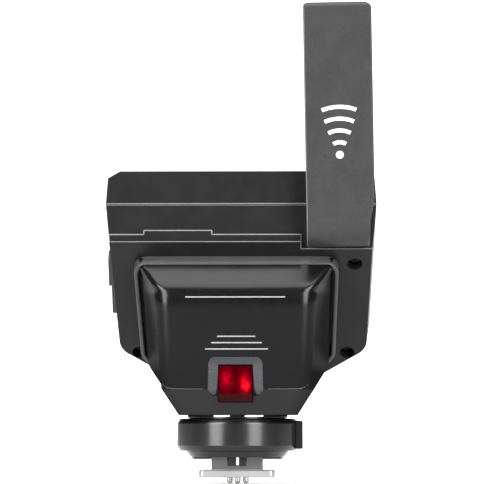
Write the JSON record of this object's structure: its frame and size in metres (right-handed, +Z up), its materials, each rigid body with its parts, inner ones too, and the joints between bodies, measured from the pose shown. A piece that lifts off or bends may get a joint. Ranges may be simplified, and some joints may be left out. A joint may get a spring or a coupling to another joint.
{
  "type": "wireless flash trigger",
  "caption": "Shoe-mounted radio flash trigger with tilted touchscreen head, folding aerial bar, red focus-assist lamp, lock ring and metal shoe foot.",
  "frame": {"origin": "centre of the shoe foot's underside, where it rests in a camera's accessory shoe", "axes": "+Z up out of the shoe, -Y towards the subject, +X to the right as the subject sees it"},
  "size_m": [0.0668, 0.0525, 0.1186],
  "materials": {
    "shell_black": "fine spark-eroded grain",
    "pedestal_black": "fine spark-eroded grain, satin",
    "ring_black": "satin black anodised",
    "aerial_black": "satin grain",
    "lamp_bezel_gloss": "polished",
    "lamp_red": "clear red, polished",
    "led_clear": "clear",
    "circuit_board": "solder mask",
    "cover_glass": "polished glass, black backed",
    "gasket_rubber": "foam",
    "display_dark": "gloss",
    "shield_tin": "bright",
    "cell_foil": "matt foil",
    "part_black": "plain",
    "socket_steel": "drawn",
    "jack_black": "plain",
    "screw_black": "black zinc",
    "key_grey": "soft matt",
    "dial_black": "satin",
    "foot_steel": "bright, fine brushed",
    "pin_steel": "polished tips",
    "spring_steel": "drawn wire",
    "hinge_steel": "turned"
  },
  "bodies": {
    "trigger": {"front_shell": "shell_black", "screen_shell": "shell_black", "pedestal_collar": "pedestal_black", "pedestal_housing": "pedestal_black", "pedestal_base": "pedestal_black", "shoe_base": "ring_black", "ring_washer": "ring_black", "hinge_spacer": "aerial_black", "lamp_bezel": "lamp_bezel_gloss", "lamp_lens": "lamp_red", "lamp_led": "led_clear", "lamp_board": "circuit_board", "main_board": "circuit_board", "touch_glass": "cover_glass", "glass_gasket": "gasket_rubber", "display_panel": "display_dark", "radio_shield": "shield_tin", "battery_cell": "cell_foil", "buzzer": "part_black", "dial_encoder": "part_black", "rear_key_switches": "part_black", "side_key_switches": "part_black", "contact_block": "part_black", "usb_c_socket": "socket_steel", "sync_jack": "jack_black", "enclosure_screws": "screw_black", "shoe_foot": "foot_steel", "shoe_screws": "foot_steel", "contact_spring_1": "spring_steel", "contact_spring_2": "spring_steel", "contact_spring_3": "spring_steel", "contact_spring_4": "spring_steel", "contact_spring_5": "spring_steel"},
    "aerial": {"aerial_front_cover": "aerial_black", "aerial_back_cover": "aerial_black", "aerial_cover_screws": "screw_black", "aerial_element": "circuit_board", "hinge_shaft": "hinge_steel", "hinge_nut": "hinge_steel", "hinge_washer": "shield_tin"},
    "ring": {"lock_ring": "ring_black"},
    "lock_pin": {"locking_pin": "pin_steel"},
    "power_button": {"power_key": "key_grey"},
    "lamp_button": {"lamp_key": "key_grey"},
    "dial": {"dial_knob": "dial_black"},
    "set_key": {"set_button": "dial_black"},
    "key_1": {"rear_key_1": "key_grey"},
    "key_2": {"rear_key_2": "key_grey"},
    "key_3": {"rear_key_3": "key_grey"},
    "key_4": {"rear_key_4": "key_grey"},
    "pin_1": {"contact_pin_1": "pin_steel"},
    "pin_2": {"contact_pin_2": "pin_steel"},
    "pin_3": {"contact_pin_3": "pin_steel"},
    "pin_4": {"contact_pin_4": "pin_steel"},
    "pin_5": {"contact_pin_5": "pin_steel"}
  },
  "joints": [
    {"name": "aerial_swing", "type": "hinge", "parent": "trigger", "child": "aerial", "pos_m": [0.0252, -0.01305, 0.066], "axis": [0, -1, 0], "range_deg": [-0.95, 89.05]},
    {"name": "ring_turn", "type": "hinge", "parent": "trigger", "child": "ring", "pos_m": [0, 0, 0.0105], "axis": [0, 0, 1], "range_deg": [0, 60]},
    {"name": "lock_pin_drop", "type": "slide", "parent": "trigger", "child": "lock_pin", "axis": [0, 0, -1], "range_m": [0, 0.0017]},
    {"name": "power_press", "type": "slide", "parent": "trigger", "child": "power_button", "axis": [1, 0, 0], "range_m": [0, 0.0004], "stiffness_N_per_m": 1500, "springref_m": -0.0003},
    {"name": "lamp_press", "type": "slide", "parent": "trigger", "child": "lamp_button", "axis": [1, 0, 0], "range_m": [0, 0.0004], "stiffness_N_per_m": 1500, "springref_m": -0.0003},
    {"name": "dial_turn", "type": "hinge", "parent": "trigger", "child": "dial", "pos_m": [0.0012, 0.02701, 0.03735], "axis": [0, 0.766, 0.6428], "continuous": true},
    {"name": "set_press", "type": "slide", "parent": "trigger", "child": "set_key", "axis": [0, -0.766, -0.6428], "range_m": [0, 0.00035], "stiffness_N_per_m": 1500, "springref_m": -0.0003},
    {"name": "key_1_press", "type": "slide", "parent": "trigger", "child": "key_1", "axis": [0, -0.766, -0.6428], "range_m": [0, 0.0003], "stiffness_N_per_m": 1500, "springref_m": -0.0003},
    {"name": "key_2_press", "type": "slide", "parent": "trigger", "child": "key_2", "axis": [0, -0.766, -0.6428], "range_m": [0, 0.0003], "stiffness_N_per_m": 1500, "springref_m": -0.0003},
    {"name": "key_3_press", "type": "slide", "parent": "trigger", "child": "key_3", "axis": [0, -0.766, -0.6428], "range_m": [0, 0.0003], "stiffness_N_per_m": 1500, "springref_m": -0.0003},
    {"name": "key_4_press", "type": "slide", "parent": "trigger", "child": "key_4", "axis": [0, -0.766, -0.6428], "range_m": [0, 0.0003], "stiffness_N_per_m": 1500, "springref_m": -0.0003},
    {"name": "pin_1_press", "type": "slide", "parent": "trigger", "child": "pin_1", "axis": [0, 0, 1], "range_m": [0, 0.0011], "stiffness_N_per_m": 300, "springref_m": -0.001, "deforming": ["contact_spring_1"]},
    {"name": "pin_2_press", "type": "slide", "parent": "trigger", "child": "pin_2", "axis": [0, 0, 1], "range_m": [0, 0.0011], "stiffness_N_per_m": 300, "springref_m": -0.001, "deforming": ["contact_spring_2"]},
    {"name": "pin_3_press", "type": "slide", "parent": "trigger", "child": "pin_3", "axis": [0, 0, 1], "range_m": [0, 0.0011], "stiffness_N_per_m": 300, "springref_m": -0.001, "deforming": ["contact_spring_3"]},
    {"name": "pin_4_press", "type": "slide", "parent": "trigger", "child": "pin_4", "axis": [0, 0, 1], "range_m": [0, 0.0011], "stiffness_N_per_m": 300, "springref_m": -0.001, "deforming": ["contact_spring_4"]},
    {"name": "pin_5_press", "type": "slide", "parent": "trigger", "child": "pin_5", "axis": [0, 0, 1], "range_m": [0, 0.0011], "stiffness_N_per_m": 300, "springref_m": -0.001, "deforming": ["contact_spring_5"]}
  ],
  "couplings": [
    {"joint": "lock_pin_drop", "follows": "ring_turn", "m_per_rad": 0.0015279}
  ]
}
